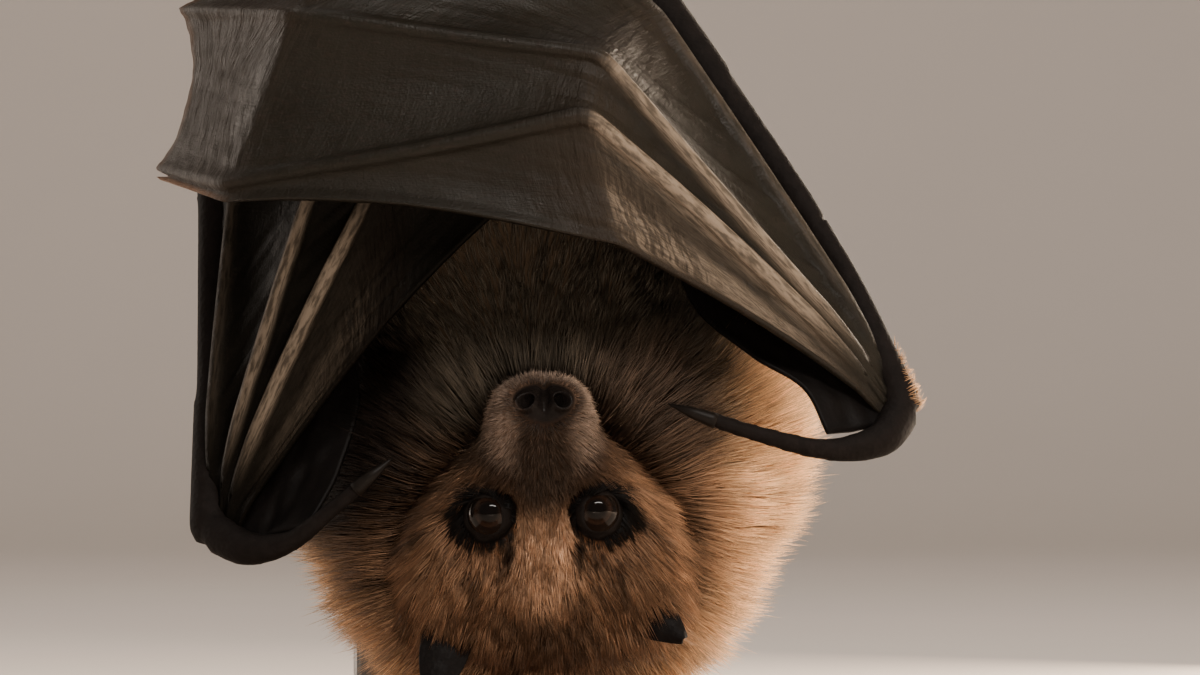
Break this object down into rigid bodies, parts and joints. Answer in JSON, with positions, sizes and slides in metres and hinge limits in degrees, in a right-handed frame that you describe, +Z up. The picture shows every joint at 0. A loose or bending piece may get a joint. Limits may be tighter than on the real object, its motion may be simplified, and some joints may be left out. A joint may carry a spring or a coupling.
{
  "type": "hanging fruit bat model",
  "caption": "Life-size still model of a golden fruit bat hanging head down from a cut branch, wings wrapped round its body, on a plain display stand.",
  "frame": {"origin": "centre of the underside of the stand's base", "axes": "+Z up, from the base to the perch; -Y towards the viewer, the side that the bat's face and belly are on; +X towards the viewer's right, the bat's own right wing"},
  "size_m": [0.208, 0.184, 0.331],
  "materials": {
    "fur": "soft golden-brown fur",
    "dark_skin": "black-brown bare skin",
    "membrane": "thin satin wing skin",
    "eye": "wet dark brown",
    "bark": "rough bark",
    "stand_wood": "satin dark wood",
    "stand_metal": "dark satin steel"
  },
  "bodies": {
    "root": {"head": "fur", "neck": "fur", "chest": "fur", "abdomen": "fur", "upper_arm_right": "fur", "upper_arm_left": "fur", "thigh_right": "fur", "thigh_left": "fur", "ear_right": "dark_skin", "ear_left": "dark_skin", "forearm_right": "dark_skin", "forearm_left": "dark_skin", "thumb_right": "dark_skin", "thumb_left": "dark_skin", "shin_right": "dark_skin", "shin_left": "dark_skin", "foot_right": "dark_skin", "foot_left": "dark_skin", "wing_right": "membrane", "wing_left": "membrane", "fore_membrane_right": "membrane", "fore_membrane_left": "membrane", "flank_membrane_right": "membrane", "flank_membrane_left": "membrane", "eye_right": "eye", "eye_left": "eye", "perch": "bark", "stand_base": "stand_wood", "stand_upright": "stand_metal", "stand_arm": "stand_metal"}
  },
  "joints": []
}
